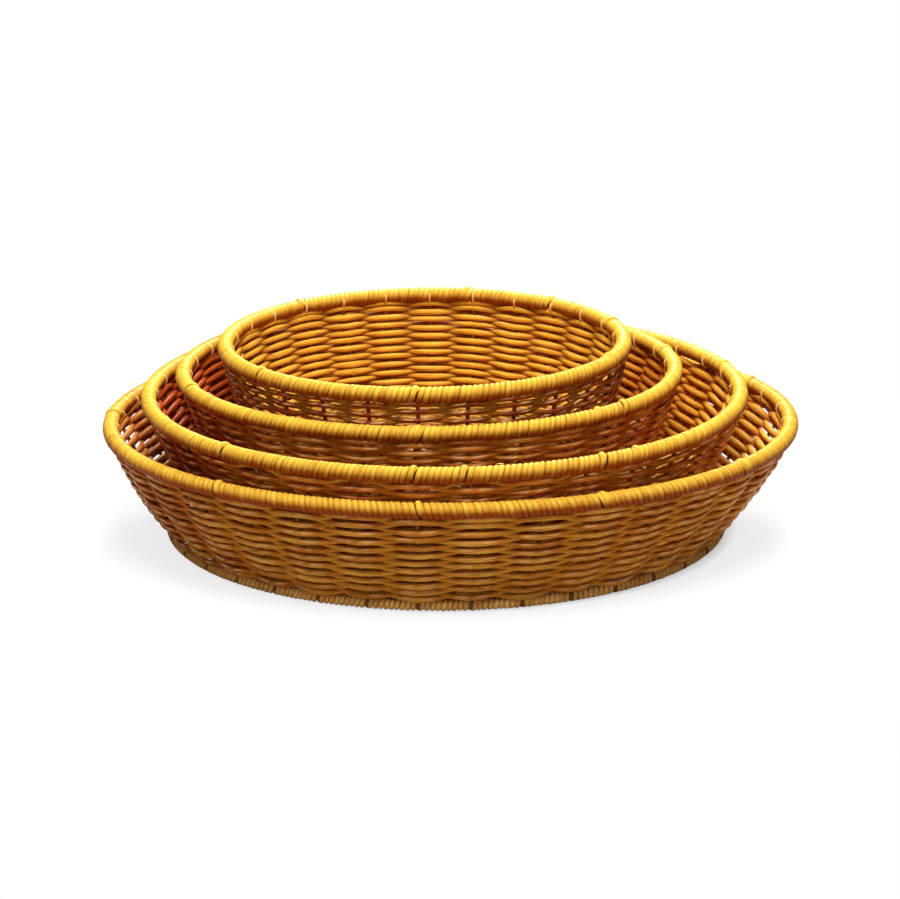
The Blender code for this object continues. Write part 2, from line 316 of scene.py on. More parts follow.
# Camera, from a fit of the rims to the photograph
TARGET = Vector((0.0005, -0.0011, 0.04576))
ELEVATION = 0.38174
YAW = -0.068714
ROLL = -0.020547
DISTANCE = 1.30065
LENS = 90.17
SENSOR = 36.0
CLIP_START = 0.05


# Helpers

def unit(vectors):
    return vectors / np.linalg.norm(vectors, axis=-1, keepdims=True)


def ramp(value, start, length):
    """0 up to the start, 1 from the length past it, and a straight line between."""
    return np.clip((value - start) / length, 0, 1)


def soften(share):
    """Eases a share from 0 to 1 in and out."""
    return share * share * (3 - 2 * share)


def steps_of(rng, places, size):
    """A random value at each whole place, joined smoothly between them."""
    values = rng.normal(size=int(np.max(places)) + 3) * size
    whole = np.floor(places).astype(int)
    share = soften(places - whole)
    return values[whole] * (1 - share) + values[whole + 1] * share


def tone_strays(rng, places, sizes):
    """Slow and quick random changes of tone along a strand."""
    return steps_of(rng, places / SLOW_CHANGE, sizes[0]) + steps_of(rng, places, sizes[1])


def spread(value, rows):
    """A number, or one number a row, as a column of that many rows."""
    return np.broadcast_to(np.reshape(value, (-1, 1)), (rows, 1))


def ring_table(oval):
    """Angles round an oval and the length run along it to each."""
    angle = np.linspace(0, 2 * np.pi, RING_TABLE_STEPS + 1)
    places = np.stack([oval[3] * np.cos(angle), oval[4] * np.sin(angle)], -1)
    gone = np.concatenate([[0.0], np.cumsum(np.linalg.norm(np.diff(places, axis=0), axis=1))])
    return angle, gone


def ring_frame(oval, angle):
    """Centre and outward direction at angles round an oval ring."""
    x = oval[0] + oval[3] * np.cos(angle)
    y = oval[1] + oval[4] * np.sin(angle)
    centre = np.stack([x, y, oval[2] + 0 * angle], -1)
    out = unit(np.stack([np.cos(angle) * oval[4], np.sin(angle) * oval[3], 0 * angle], -1))
    return centre, out


def around(oval, angle, turn, radius):
    """Points on a ring's tube and the way each faces; turn is counted from outward to up."""
    centre, out = ring_frame(oval, angle)
    face = out * np.cos(turn)[:, None] + UP * np.sin(turn)[:, None]
    return centre + face * radius[:, None], face


class Basket:
    """One basket's sizes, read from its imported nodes."""

    def __init__(self, index):
        self.index = index
        self.name = NAMES[index]
        self.body = f"{self.name}_basket"
        self.stakes = STAKE_COUNTS[index]
        self.stake_start = STAKE_START_SHARES[index]
        self.rows = ROW_COUNTS[index]
        self.rim = self.oval("rim_wrap", RIM_RADIUS)
        self.foot = self.oval("foot_ring", PACKED_FOOT_RADIUS)
        self.spoke_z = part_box(f"{self.name}_stakes")[0].z + PACKED_STAKE_THICKNESS / 2
        low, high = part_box(f"{self.name}_base_mat")
        self.mat_z = (low.z + high.z) / 2
        floor_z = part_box(f"{self.name}_foot_ring")[0].z
        self.foot_ring = (*self.foot[:2], floor_z + FOOT_RADIUS, *self.foot[3:])
        self.rim_angles, self.rim_runs = ring_table(self.rim)

    def oval(self, node, radius):
        """Centre x, y, z and half length and half width of a packed ring.

        A ring whose corners don't fall at its front and back is narrower than its oval.
        """
        corners = RING_COUNTS[self.index]
        across = 1.0 if corners % 4 == 0 else math.cos(math.pi / corners)
        low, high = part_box(f"{self.name}_{node}")
        middle = (low + high) / 2
        half = (high - low) / 2
        return (middle.x, middle.y, middle.z, half.x - radius, (half.y - radius) / across)

    def stake_angle(self, number):
        return 2 * np.pi * (number + self.stake_start) / self.stakes

    def rim_angle(self, run):
        """The angle round the rim at which a length run along it ends."""
        return np.interp(run % self.rim_runs[-1], self.rim_runs, self.rim_angles)

    def rim_run(self, share):
        """The length run along the rim to a share of the full angle."""
        return np.interp(share * 2 * np.pi, self.rim_angles, self.rim_runs)

    def wall(self, angle, height):
        """Points of the wall's middle surface, which bellies out a little."""
        rise = (height - self.spoke_z) / (self.rim[2] - self.spoke_z)
        blend = [a + rise * (b - a) for a, b in zip(self.foot, self.rim)]
        x = blend[0] + blend[3] * np.cos(angle)
        y = blend[1] + blend[4] * np.sin(angle)
        bulge = np.asarray(4 * BELLY * rise * (1 - rise))
        return np.stack([x, y, height + 0 * angle], axis=-1) + self.outward(angle) * bulge[..., None]

    def outward(self, angle):
        """The level direction that faces away from the wall."""
        x = np.cos(angle) * self.rim[4]
        y = np.sin(angle) * self.rim[3]
        size = np.hypot(x, y)
        return np.stack([x / size, y / size, 0 * size], axis=-1)

    def square(self, angle):
        """The direction square to the wall, facing out of the basket."""
        foot = self.wall(angle, self.spoke_z)
        rim = self.wall(angle, self.rim[2])
        level = self.outward(angle)
        reach = ((rim - foot) * level).sum(-1)
        lean = np.arctan2(reach, self.rim[2] - self.spoke_z)
        return level * np.cos(lean)[..., None] - UP * np.sin(lean)[..., None]


class Piece:
    """Gathers strands into one mesh, with what their materials need at each point."""

    def __init__(self, name):
        self.name = name
        self.count = 0
        self.points = []
        self.faces = []
        self.lies = []
        self.values = {"tone": [], "warm": [], "glint": []}

    def strand(self, centres, out, half_width, half_depth, sides, tone, start=0.0, closed=False,
               warm=0.5, glint=0.0, groove=0.0):
        """Carries an oval section along the centres; out is the way that its depth faces.

        The groove runs along the outer side, and the glint lies on the upper outer edge. The
        start shifts the fibres along the strand.
        """
        rows = len(centres)
        turn = 2 * np.pi * np.arange(sides) / sides
        across = np.cos(turn)
        outer = np.sin(turn)
        hollow = np.exp(-(across / GROOVE_WIDTH_SHARE) ** 2) * (outer > 0)
        width = spread(half_width, rows) * across
        depth = spread(half_depth, rows) * outer - spread(groove, rows) * hollow
        self.add_points(centres, out, width, depth, start, closed)
        self.add_faces(rows, sides, closed)
        edge = np.clip(-2 * across * outer, 0, 1)
        every = np.ones(sides)
        for name, value, share in (("tone", tone, every), ("warm", warm, every), ("glint", glint, edge)):
            self.values[name].append((spread(value, rows) * share).reshape(-1))
        self.count += rows * sides

    def add_points(self, centres, out, width, depth, start, closed):
        if closed:
            along = np.roll(centres, -1, axis=0) - np.roll(centres, 1, axis=0)
        else:
            along = np.gradient(centres, axis=0)
        along = unit(along)
        out = unit(out - along * (out * along).sum(-1, keepdims=True))
        side = np.cross(along, out)
        points = centres[:, None] + width[..., None] * side[:, None] + depth[..., None] * out[:, None]
        self.points.append(points.reshape(-1, 3))
        gone = np.concatenate([[0.0], np.cumsum(np.linalg.norm(np.diff(centres, axis=0), axis=1))])
        gone = np.broadcast_to((gone + start)[:, None], width.shape)
        self.lies.append(np.stack([gone, width, depth], axis=-1).reshape(-1, 3))

    def add_faces(self, rows, sides, closed):
        last = rows if closed else rows - 1
        row, column = np.meshgrid(np.arange(last), np.arange(sides), indexing="ij")
        here = row * sides
        after = (row + 1) % rows * sides
        beside = (column + 1) % sides
        quads = np.stack([here + column, after + column, after + beside, here + beside], -1)
        self.faces += (quads.reshape(-1, 4) + self.count).tolist()
        if not closed:
            self.faces.append([self.count + i for i in range(sides)])
            self.faces.append([self.count + (rows - 1) * sides + i for i in reversed(range(sides))])

    def build(self, material, slot, body, *nodes):
        mesh = bpy.data.meshes.new(self.name)
        mesh.from_pydata(np.concatenate(self.points).tolist(), [], self.faces, shade_flat=False)
        lie = mesh.attributes.new("lie", "FLOAT_VECTOR", "POINT")
        lie.data.foreach_set("vector", np.concatenate(self.lies).astype(np.float32).ravel())
        for name, values in self.values.items():
            attribute = mesh.attributes.new(name, "FLOAT", "POINT")
            attribute.data.foreach_set("value", np.concatenate(values).astype(np.float32))
        mesh.materials.append(material)
        obj = bpy.data.objects.new(self.name, mesh)
        bpy.context.scene.collection.objects.link(obj)
        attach(obj, body)
        if nodes:
            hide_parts(*nodes)


# Wall

def wall_heights(basket, rng, row, stake, beat, columns):
    """Heights along a strand: rows climb evenly, stray a little, arch under the rim and sag at the foot."""
    low = basket.spoke_z + LOW_ROW_RISE
    high = basket.rim[2] - RIM_RADIUS + TOP_ROW_OVERLAP
    height = low + row * (high - low) / (basket.rows - 1)
    inner = np.clip(np.minimum(row, basket.rows - 1 - row) / 2, 0, 1)
    shift = np.interp(stake % basket.stakes, np.arange(basket.stakes + 1), columns)
    height = height + inner * (shift + steps_of(rng, stake, ROW_STRAY))
    top = ramp(row, basket.rows - TOP_ARCH_START_ROWS, ARCHED_ROWS)
    bottom = np.clip(ARCHED_ROWS - row, 0, 1)
    return height + top * TOP_ARCH * (np.abs(beat) - 0.5) - bottom * LOW_SAG * np.clip(beat, 0, 1)


def wall_glints(rng, stake, beat):
    """Painted highlight, with a smoother, glossier surface, on both sides of each stake that the strand
    passes in front of.
    """
    away = np.abs(stake - np.round(stake))
    near = ramp(away, GLINT_START, GLINT_RISE) * np.clip((GLINT_END - away) / GLINT_FALL, 0, 1)
    painted_glint_and_gloss = np.clip(GLINT_MEAN + steps_of(rng, stake * GLINTS_PER_STAKE, GLINT_STRAY), 0, 1)
    return near * (beat > 0) * painted_glint_and_gloss


def weave_wall(basket, letter, rng, columns, material):
    """One of the two strands that chase each other up the wall."""
    second = letter == "b"
    count = basket.stakes
    steps = ((basket.rows - 1) // 2 + 1) * count * WALL_SAMPLES
    place = np.arange(steps + 1) / WALL_SAMPLES
    row = np.clip(2 * place / count - 1, 0, basket.rows - 1)
    stake = place + (0 if second else count // 2)
    angle = basket.stake_angle(stake)
    beat = np.cos(np.pi * stake) * (-1 if second else 1)
    swell = np.abs(beat)
    # Painted shade at the ends of the oval, where the wall lies in the narrow gaps between the nested
    # baskets
    left = ramp(-np.cos(angle), END_START, END_LENGTH)
    right = ramp(np.cos(angle), END_START, END_LENGTH)
    end_shade = LEFT_END_SHADES[basket.index] * left + RIGHT_END_SHADES[basket.index] * right

    height = wall_heights(basket, rng, row, stake, beat, columns)
    swing = WEAVE_DEPTH * np.sign(beat) * swell ** WEAVE_POWER + steps_of(rng, stake, DEPTH_STRAY)
    square = basket.square(angle)
    centres = basket.wall(angle, height) + square * swing[:, None]

    # Tone: lighter on the humps at the stakes and darker where the strands cross and sink into the weave,
    # and darker towards the rim, all painted shade
    tone = WALL_TONE + WALL_TONE_AT_STAKES * swell - PAINTED_RIM_SHADE * row / basket.rows - end_shade
    tone = tone + tone_strays(rng, stake, WALL_TONE_STRAYS)
    # Warm: the inner colour where the strand passes inside the stakes, a painted glow of light through the
    # wall; less of it where the ends take painted shade
    warm = (0.5 - 0.5 * np.sign(beat) * swell ** WARM_POWER) * (1 - END_SHADE_COOLING * end_shade)
    # Glint: where a painted highlight goes and the strand is smoother and glossier
    glint = wall_glints(rng, stake, beat)

    thick = 1 + steps_of(rng, stake / 2, THICKNESS_STRAY_SHARE)
    slope = np.hypot(square[:, 0], square[:, 1])
    tall = ROW_HALF_HEIGHTS[basket.index] * thick * (1 + ROW_SWELL_SHARE * swell) / slope
    tall = tall * (1 + RIGHT_END_SWELL_SHARE * right * np.clip(1 - 2 * row / basket.rows, 0, 1))
    piece = Piece(f"{basket.name}_wall_strand_{letter}")
    piece.strand(centres, square, tall, ROW_HALF_DEPTH * thick, WALL_SIDES, tone, warm=warm, glint=glint)
    nodes = sorted(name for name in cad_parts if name.startswith(f"{basket.name}_weaver_{letter}"))
    piece.build(material, "wall_strand", basket.body, *nodes)


# Rim

def winding_runs(basket, spacing, marks):
    """Turn number and length run along the rim at each sample; turns stand apart at the marks."""
    runs = basket.rim_runs
    stretch = 1 - END_SQUEEZE_SHARE * np.cos(basket.rim_angles) ** 2
    for mark in marks:
        away = np.abs(runs - basket.rim_run(mark))
        away = np.minimum(away, runs[-1] - away)
        stretch += SPLICE_OPENING * np.exp(-(away / SPLICE_REACH) ** 2)
    pitches = spacing * (stretch[1:] + stretch[:-1]) / 2
    turns = np.concatenate([[0.0], np.cumsum(np.diff(runs) / pitches)])
    count = round(turns[-1])
    turn_number = np.arange(count * RIM_SAMPLES) / RIM_SAMPLES
    return turn_number, count, np.interp(turn_number, turns * count / turns[-1], runs)


def rim_painted_light(face):
    """Painted light and shade on the rims: yellower on top and browner below, by how far up the tube a
    point faces.
    """
    return LOW_RIM_TONE + TOP_RIM_TONE_GAIN * soften(ramp(face[:, 2], RIM_TONE_START, RIM_TONE_LENGTH))


def wind_rim_strand(basket, piece, rng, strand, turn_number, count, run):
    """One strand of the rim's winding, finer at the back."""
    ends = np.clip(np.minimum(turn_number, count - turn_number), 0, 1)
    angle = basket.rim_angle(run + ends * steps_of(rng, turn_number, RIM_WOBBLE))
    turn = RIM_HANDS[basket.index] * 2 * np.pi * (turn_number + strand / RIM_STRANDS)
    lift = ends * steps_of(rng, turn_number * RIM_LIFTS_PER_TURN, RIM_LIFT)
    back = ramp(np.sin(angle), -BACK_START, BACK_START)
    deep = RIM_HALF_DEPTH * (1 - BACK_FLATTER_SHARE * back)
    groove = FRONT_GROOVE + (BACK_GROOVE - FRONT_GROOVE) * back
    centres, face = around(basket.rim, angle, turn, RIM_RADIUS - deep + lift)
    tan = RIM_TANS[basket.index] * np.exp(-((angle / (2 * np.pi) - TAN_PLACE_SHARE) / TAN_REACH_SHARE) ** 2)
    # Tone: painted light on top of the rim and painted shade beneath it, less the tan place and the dulling
    tone = rim_painted_light(face) - tan - RIM_DULLS[basket.index] + tone_strays(rng, turn_number, RIM_TONE_STRAYS)
    spacing = RIM_SPACINGS[basket.index] * (1 - END_SQUEEZE_SHARE * np.cos(angle) ** 2)
    wide = spacing * (0.5 + steps_of(rng, turn_number, RIM_WIDTH_STRAY_SHARE) * ends)
    piece.strand(centres, face, wide, deep, RIM_SIDES, tone, strand * RIM_FIBRE_SHIFT, closed=True,
                 warm=0.0, groove=groove)


def wind_rim(basket, rng, material):
    """The rim's winding: a pair of strands laid side by side round the hoop, with its splices."""
    marks = SPLICE_SHARES[basket.index]
    spacing = RIM_SPACINGS[basket.index] * RIM_STRANDS
    turn_number, count, run = winding_runs(basket, spacing, marks)
    piece = Piece(f"{basket.name}_rim_winding")
    for strand in range(RIM_STRANDS):
        wind_rim_strand(basket, piece, rng, strand, turn_number, count, run)
    for share in marks[PACKED_TIES:]:
        cross_turn(basket, piece, share, rng)
    grow_stake_ends(basket, piece, rng)
    piece.build(material, "rim_strand", basket.body, f"{basket.name}_rim_wrap")
    for number, share in enumerate(marks[:PACKED_TIES]):
        splice = Piece(f"{basket.name}_rim_splice_{number + 1}")
        cross_turn(basket, splice, share, rng)
        splice.build(material, "rim_strand", basket.body, f"{basket.name}_rim_tie_{number + 1}")


def cross_turn(basket, piece, share, rng):
    """A raised turn that slants over a splice and dives into the winding at both ends."""
    along = np.linspace(0, 1, SPLICE_STEPS)
    turn = SPLICE_TURN_START - along * SPLICE_TURN_LENGTH
    run = basket.rim_run(share) + RIM_HANDS[basket.index] * SPLICE_SLANT * (0.5 - along)
    arch = np.clip(along * (1 + 2 * SPLICE_FLAT_SHARE) - SPLICE_FLAT_SHARE, 0, 1)
    low = RIM_RADIUS - SPLICE_DIVE_SHARE * RIM_HALF_DEPTH
    high = RIM_RADIUS - RIM_HALF_DEPTH + SPLICE_LIFT
    radius = low + (high - low) * np.sin(np.pi * arch) ** SPLICE_RISE_POWER
    centres, face = around(basket.rim, basket.rim_angle(run), turn, radius)
    tone = rim_painted_light(face) + SPLICE_TONE_STRAY * rng.normal() + SPLICE_TONE_GAIN
    half_width = RIM_SPACINGS[basket.index] / 2
    half_depth = RIM_HALF_DEPTH * SPLICE_DEPTH_SHARE
    piece.strand(centres, face, half_width, half_depth, RIM_SIDES, tone, share, warm=0.0)


def grow_stake_ends(basket, piece, rng):
    """Where each stake ends, a thin length that laps up the inside of the rim and dives into it."""
    along = np.linspace(0, 1, STAKE_END_STEPS)
    dive = STAKE_END_DIVE * ramp(along, 1 - STAKE_END_DIVE_SHARE, STAKE_END_DIVE_SHARE)
    radius = RIM_RADIUS + STAKE_END_RADIUS * STAKE_END_PROUD_SHARE - dive
    for number in range(basket.stakes):
        angle = np.full(STAKE_END_STEPS, basket.stake_angle(number))
        length = np.radians(rng.uniform(STAKE_END_LEAST_DEGREES, STAKE_END_MOST_DEGREES))
        centres, face = around(basket.rim, angle, STAKE_END_TURN_START - along * length, radius)
        piece.strand(centres, face, STAKE_END_RADIUS, STAKE_END_RADIUS, STAKE_END_SIDES, 1.0,
                     number * STAKE_END_FIBRE_SHIFT, warm=1.0)


# Foot

def wind_foot(basket, rng, material):
    """The foot's winding, which stops at each stake and starts again past it."""
    angles, runs = ring_table(basket.foot_ring)
    piece = Piece(f"{basket.name}_foot_winding")
    for number in range(basket.stakes):
        ends = [basket.stake_angle(number - 1) % (2 * np.pi), basket.stake_angle(number) % (2 * np.pi)]
        first, last = np.interp(ends, angles, runs)
        if last < first:
            last += runs[-1]
        first += FOOT_NOTCH / 2
        last -= FOOT_NOTCH / 2
        turns = round((last - first) / FOOT_SPACING)
        turn_number = np.arange(turns * FOOT_SAMPLES + 1) / FOOT_SAMPLES
        run = first + (last - first) * turn_number / turns
        angle = np.interp(run % runs[-1], runs, angles)
        turn = 2 * np.pi * turn_number - np.pi / 2
        radius = FOOT_RADIUS - FOOT_HALF_DEPTH + steps_of(rng, turn_number, FOOT_LIFT_STRAY)
        centres, face = around(basket.foot_ring, angle, turn, radius)
        tone = PLAIN_TONE + tone_strays(rng, turn_number, PLAIN_TONE_STRAYS)
        piece.strand(centres, face, FOOT_SPACING * FOOT_FILL_SHARE, FOOT_HALF_DEPTH, FOOT_SIDES, tone,
                     number * FOOT_FIBRE_SHIFT)
    piece.build(material, "foot_strand", basket.body, f"{basket.name}_foot_ring")


def foot_core(basket, material):
    """The wire inside the foot's winding, with a loop of each stake's wire round it."""
    ring = basket.foot_ring
    piece = Piece(f"{basket.name}_foot_core")
    angle = np.linspace(0, 2 * np.pi, FOOT_CORE_SAMPLES * basket.stakes, endpoint=False)
    centres, out = ring_frame(ring, angle)
    radius = FOOT_CORE_RADIUS
    piece.strand(centres, out, radius, radius, FOOT_CORE_SIDES, PLAIN_TONE, closed=True)
    turn = np.linspace(-np.pi, np.pi, FOOT_LOOP_STEPS, endpoint=False)
    radius = np.full(FOOT_LOOP_STEPS, FOOT_RADIUS - STAKE_RADIUS)
    for number in range(basket.stakes):
        stake = np.full(FOOT_LOOP_STEPS, basket.stake_angle(number))
        centres, face = around(ring, stake, turn, radius)
        piece.strand(centres, face, STAKE_RADIUS, STAKE_RADIUS, STAKE_SIDES, FOOT_LOOP_TONE, closed=True)
    piece.build(material, "stake_wire", basket.body)


# Stakes and base

def stake_frame(basket, material):
    """Spokes that run out through the base and turn up the wall as stakes."""
    piece = Piece(f"{basket.name}_stake_frame")
    x, y, _, half_length, half_width = basket.foot
    low = basket.mat_z + STAKE_WALL_START
    heights = np.linspace(low, basket.rim[2] - RIM_RADIUS / 2, STAKE_WALL_STEPS)
    for number in range(basket.stakes):
        angle = basket.stake_angle(number)
        hub_x = x + half_length * HUB_LENGTH_SHARE * math.cos(angle)
        hub_y = y + half_width * HUB_WIDTH_SHARE * math.sin(angle)
        hub = np.array([hub_x, hub_y, basket.mat_z])
        edge = basket.wall(angle, np.float64(basket.mat_z))
        spoke = [hub + (edge - hub) * share for share in np.linspace(0, SPOKE_LENGTH_SHARE, SPOKE_STEPS)]
        wall = basket.wall(np.full(STAKE_WALL_STEPS, angle), heights)
        bend = ((spoke[-1] + wall[0]) / 2 + edge) / 2
        centres = np.array([*spoke, bend, *wall])
        outward = basket.outward(np.array([angle]))[0]
        side = np.broadcast_to([-outward[1], outward[0], 0.0], centres.shape)
        piece.strand(centres, side, STAKE_RADIUS, STAKE_RADIUS, STAKE_SIDES, PLAIN_TONE,
                     number * STAKE_FIBRE_SHIFT)
    piece.build(material, "stake_wire", basket.body, f"{basket.name}_stakes")


def weave_base(basket, rng, material):
    """The base: two strands wound outwards over and under the spokes, round a plain-woven hub."""
    piece = Piece(f"{basket.name}_base_weave")
    edge = (basket.foot[3] - BASE_INSET, basket.foot[4] - BASE_INSET)
    hub_width = basket.foot[4] * HUB_WIDTH_SHARE
    hub = (edge[0] - edge[1] + hub_width, hub_width)
    wind_base(basket, piece, rng, hub, edge)
    weave_hub(basket, piece, rng, hub)
    lay_border(basket, piece)
    piece.build(material, "base_strand", basket.body, f"{basket.name}_base_mat")


def wind_base(basket, piece, rng, hub, edge):
    """The two strands that wind from the hub to the edge."""
    count = basket.stakes
    rounds = round((edge[1] - hub[1]) / BASE_PITCH)
    steps = rounds * count * BASE_SAMPLES // 2
    place = np.arange(steps + 1) / BASE_SAMPLES
    for second in (0, 1):
        stake = place + count // 2 * second
        angle = basket.stake_angle(stake)
        share = np.clip((2 * place / count + second) / rounds, 0, 1)
        beat = np.cos(np.pi * stake) * (1 - 2 * second)
        x = basket.foot[0] + (hub[0] + share * (edge[0] - hub[0])) * np.cos(angle)
        y = basket.foot[1] + (hub[1] + share * (edge[1] - hub[1])) * np.sin(angle)
        centres = np.stack([x, y, basket.mat_z + BASE_DEPTH * beat], -1)
        tone = PLAIN_TONE + tone_strays(rng, stake, PLAIN_TONE_STRAYS)
        up = np.broadcast_to(UP, centres.shape)
        piece.strand(centres, up, BASE_HALF_WIDTH, BASE_HALF_DEPTH, BASE_SIDES, tone)


def weave_hub(basket, piece, rng, hub):
    """Straight strands along the middle of the base, over and under by turns."""
    rows = int(hub[1] / BASE_PITCH)
    spacing = hub[0] / HUB_SPOKES
    for row in range(-rows, rows + 1):
        off = row * BASE_PITCH
        reach = hub[0] * math.sqrt(max(0.0, 1 - (off / (hub[1] + BASE_PITCH / 2)) ** 2))
        across = np.arange(-reach, reach + spacing / 6, spacing / HUB_SAMPLES)
        beat = np.cos(np.pi * (across / spacing + row))
        y = np.full(len(across), basket.foot[1] + off)
        centres = np.stack([basket.foot[0] + across, y, basket.mat_z + BASE_DEPTH * beat], -1)
        tone = PLAIN_TONE + HUB_TONE_STRAY * rng.normal()
        up = np.broadcast_to(UP, centres.shape)
        piece.strand(centres, up, BASE_HALF_WIDTH, BASE_HALF_DEPTH, BASE_SIDES, tone,
                     row * HUB_FIBRE_SHIFT)


def lay_border(basket, piece):
    """Two strands laid round under the edge of the base, where the spokes turn up."""
    angle = np.linspace(0, 2 * np.pi, BORDER_SAMPLES * basket.stakes, endpoint=False)
    x, y, _, half_length, half_width = basket.foot
    for inset, level in ((BASE_INSET, 0.0), (BASE_INSET + 2 * BORDER_RADIUS, BORDER_STEP)):
        ring = (x, y, basket.spoke_z + level, half_length - inset, half_width - inset)
        centres, out = ring_frame(ring, angle)
        wave = np.sin(angle * BORDER_TONE_WAVES + inset * BORDER_TONE_SHIFT)
        tone = BORDER_TONE + BORDER_TONE_SWING * wave
        piece.strand(centres, out, BORDER_RADIUS, BORDER_RADIUS, BASE_SIDES, tone, closed=True)


# Materials

def new_node(nodes, kind, values=None, **settings):
    """A node with the given settings and the given values on its own inputs."""
    node = nodes.new(kind)
    for name, value in settings.items():
        setattr(node, name, value)
    for socket, value in (values or {}).items():
        node.inputs[socket].default_value = value
    return node


def new_tree(block):
    """Turns nodes on for a material or world and returns its nodes and links."""
    block.use_nodes = True
    return block.node_tree.nodes, block.node_tree.links


def attribute(nodes, name, output="Fac"):
    return new_node(nodes, "ShaderNodeAttribute", attribute_name=name).outputs[output]


def strand_noise(nodes, links, stretch, detail):
    """Noise drawn out along a strand."""
    scaled = new_node(nodes, "ShaderNodeVectorMath", {1: stretch}, operation="MULTIPLY")
    links.new(attribute(nodes, "lie", "Vector"), scaled.inputs[0])
    noise = new_node(nodes, "ShaderNodeTexNoise", {"Scale": 1.0, "Detail": detail})
    links.new(scaled.outputs[0], noise.inputs["Vector"])
    return noise.outputs["Fac"]


def mixed(nodes, links, factor, first, second):
    """Blends two colours, each a plain colour or an output, by an output."""
    mix = new_node(nodes, "ShaderNodeMix", data_type="RGBA")
    links.new(factor, mix.inputs["Factor"])
    for socket, colour in (("A", first), ("B", second)):
        if isinstance(colour, tuple):
            mix.inputs[socket].default_value = colour
        else:
            links.new(colour, mix.inputs[socket])
    return mix.outputs["Result"]


def mapped(nodes, links, value, start, end, low, high):
    """Maps an output from start and end to low and high."""
    ends = {"From Min": start, "From Max": end, "To Min": low, "To Max": high}
    node = new_node(nodes, "ShaderNodeMapRange", ends)
    links.new(value, node.inputs["Value"])
    return node.outputs["Result"]


def strand_colour(nodes, links, fibre, light, dark, deep, inner, patches, painted_glint_and_gloss):
    """Dark to light by tone and patches, with the inner colour's painted glow, a painted highlight where
    the glint attribute is high, and darker in the fibres.
    """
    patch = strand_noise(nodes, links, PATCH_STRETCH, PATCH_DETAIL)
    add = new_node(nodes, "ShaderNodeMath", operation="ADD", use_clamp=True)
    links.new(mapped(nodes, links, patch, PATCH_LOW, PATCH_HIGH, -patches, patches), add.inputs[0])
    links.new(attribute(nodes, "tone"), add.inputs[1])
    colour = mixed(nodes, links, add.outputs[0], dark, light)
    # On the wall the inner colour is a painted glow of light through the strands; on the rim it is the
    # stake ends' own colour
    if inner:
        gain = new_node(nodes, "ShaderNodeMath", {1: WARM_GAIN}, operation="MULTIPLY")
        links.new(attribute(nodes, "warm"), gain.inputs[0])
        colour = mixed(nodes, links, gain.outputs[0], colour, inner)
    # A painted highlight: the pale peach colour where the glint attribute is high
    if painted_glint_and_gloss:
        share = mapped(nodes, links, attribute(nodes, "glint"), PAINTED_GLINT_LOW, PAINTED_GLINT_HIGH, 0.0, PAINTED_GLINT_MOST)
        colour = mixed(nodes, links, share, colour, PAINTED_GLINT_COLOUR)
    streaks = mapped(nodes, links, fibre, STREAK_LOW, STREAK_HIGH, 0.0, STREAK_MOST)
    return mixed(nodes, links, streaks, colour, deep)


def gloss_at_glints(nodes, links, rough, shader):
    """A strand is smoother and shines paler where the glint attribute says so."""
    glint = attribute(nodes, "glint")
    smooth = new_node(nodes, "ShaderNodeMath", {1: GLINT_SMOOTHING}, operation="MULTIPLY_ADD")
    links.new(glint, smooth.inputs[0])
    links.new(rough, smooth.inputs[2])
    links.new(smooth.outputs[0], shader.inputs["Roughness"])
    values = {1: GLINT_GLOSS_GAIN, 2: DULL_GLOSS}
    gloss = new_node(nodes, "ShaderNodeMath", values, operation="MULTIPLY_ADD")
    links.new(glint, gloss.inputs[0])
    links.new(gloss.outputs[0], shader.inputs["Specular IOR Level"])
    links.new(mixed(nodes, links, glint, DULL_TINT, GLINT_TINT), shader.inputs["Specular Tint"])


def strand_material(name, light, dark, deep, rough, coat=0.0, inner=None, patches=0.35, glow=0.0,
                    painted_glint_and_gloss=False):
    """Glossy strand with fibres that run along it and slow changes of colour."""
    material = bpy.data.materials.new(name)
    nodes, links = new_tree(material)
    shader = nodes["Principled BSDF"]
    values = {
        "Specular IOR Level": DULL_GLOSS, "Specular Tint": DULL_TINT,
        "Coat Weight": coat, "Coat Roughness": COAT_ROUGHNESS,
        "Subsurface Weight": glow, "Subsurface Radius": GLOW_RADIUS, "Subsurface Scale": GLOW_SCALE,
    }
    for socket, value in values.items():
        shader.inputs[socket].default_value = value
    fibre = strand_noise(nodes, links, FIBRE_STRETCH, FIBRE_DETAIL)
    colour = strand_colour(nodes, links, fibre, light, dark, deep, inner, patches, painted_glint_and_gloss)
    links.new(colour, shader.inputs["Base Color"])
    roughness = mapped(nodes, links, fibre, 0.0, 1.0, rough - ROUGH_LESS, rough + ROUGH_MORE)
    if painted_glint_and_gloss:
        gloss_at_glints(nodes, links, roughness, shader)
    else:
        links.new(roughness, shader.inputs["Roughness"])
    bump = new_node(nodes, "ShaderNodeBump", {"Strength": BUMP_STRENGTH, "Distance": BUMP_DISTANCE})
    links.new(fibre, bump.inputs["Height"])
    links.new(bump.outputs["Normal"], shader.inputs["Normal"])
    return material


def make_materials():
    """The strands' materials by name, and each basket's wall material by its number."""
    looks = {name: strand_material(f"{name}_look", **look) for name, look in OTHER_LOOKS.items()}
    for index, (light, dark, inner) in enumerate(WALL_COLOURS):
        name = f"{NAMES[index]}_wall_strand_look"
        looks[index] = strand_material(name, light, dark, inner=inner, **WALL_LOOK)
    return looks


# Stage

def make_stage():
    size = FLOOR_HALF_SIZE
    corners = [(x, y, FLOOR_LEVEL) for x, y in ((-size, -size), (size, -size), (size, size), (-size, size))]
    mesh = bpy.data.meshes.new("floor")
    mesh.from_pydata(corners, [], [(0, 1, 2, 3)])
    mesh.materials.append(floor_material())
    floor = bpy.data.objects.new("floor", mesh)
    bpy.context.scene.collection.objects.link(floor)


